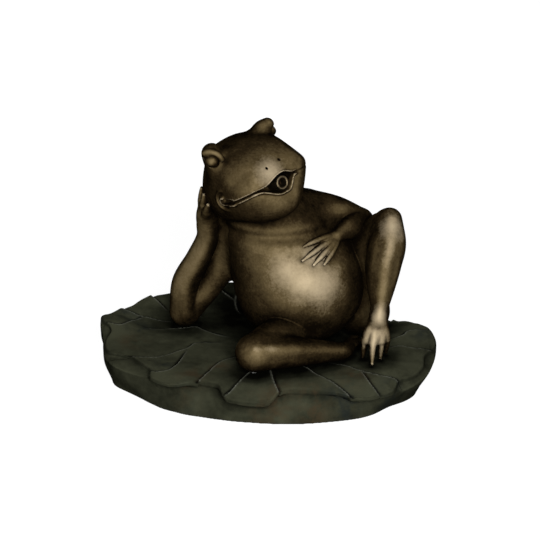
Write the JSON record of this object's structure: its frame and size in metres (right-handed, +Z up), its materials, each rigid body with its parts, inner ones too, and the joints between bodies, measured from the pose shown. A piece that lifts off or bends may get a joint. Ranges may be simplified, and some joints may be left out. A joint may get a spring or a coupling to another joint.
{
  "type": "frog pond spitter figurine",
  "caption": "Cast frog lounging on a lily pad, chin in hand, with a water tube from a hose spigot at the back of the pad to a spout in its mouth.",
  "frame": {"origin": "on the ground, under the middle of the lily pad, at the middle of the resting face", "axes": "+X to the right of a viewer who faces the frog, along the pad's length, +Y away from that viewer, +Z up"},
  "size_m": [0.3314, 0.2339, 0.2645],
  "materials": {
    "bronze_resin": "cast polyresin painted as bronze, dark in the recesses and rubbed golden on the raised parts",
    "leaf_resin": "cast polyresin painted as dark green-black patina with rusty and bluish patches",
    "plate_plastic": "black moulded sheet, fine texture",
    "rubber": "black rubber, matt",
    "steel": "stainless steel, brushed",
    "brass": "darkened brass, turned",
    "copper": "drawn copper tube, dull"
  },
  "bodies": {
    "root": {"torso": "bronze_resin", "head": "bronze_resin", "propping_arm": "bronze_resin", "resting_arm": "bronze_resin", "raised_leg": "bronze_resin", "folded_leg": "bronze_resin", "right_eye": "bronze_resin", "left_eye": "bronze_resin", "lily_pad": "leaf_resin", "bottom_plate": "plate_plastic", "underside_sheet": "rubber", "inlet_gasket": "rubber", "plate_screws": "steel", "seat_bolts": "steel", "seat_washers": "steel", "propping_arm_pin": "steel", "resting_arm_pin": "steel", "raised_leg_pin": "steel", "folded_leg_pin": "steel", "elbow_pin": "steel", "knee_pin": "steel", "neck_pins": "steel", "inlet_fitting": "brass", "inlet_nut": "brass", "mouth_nozzle": "brass", "feed_tube": "copper"}
  },
  "joints": []
}
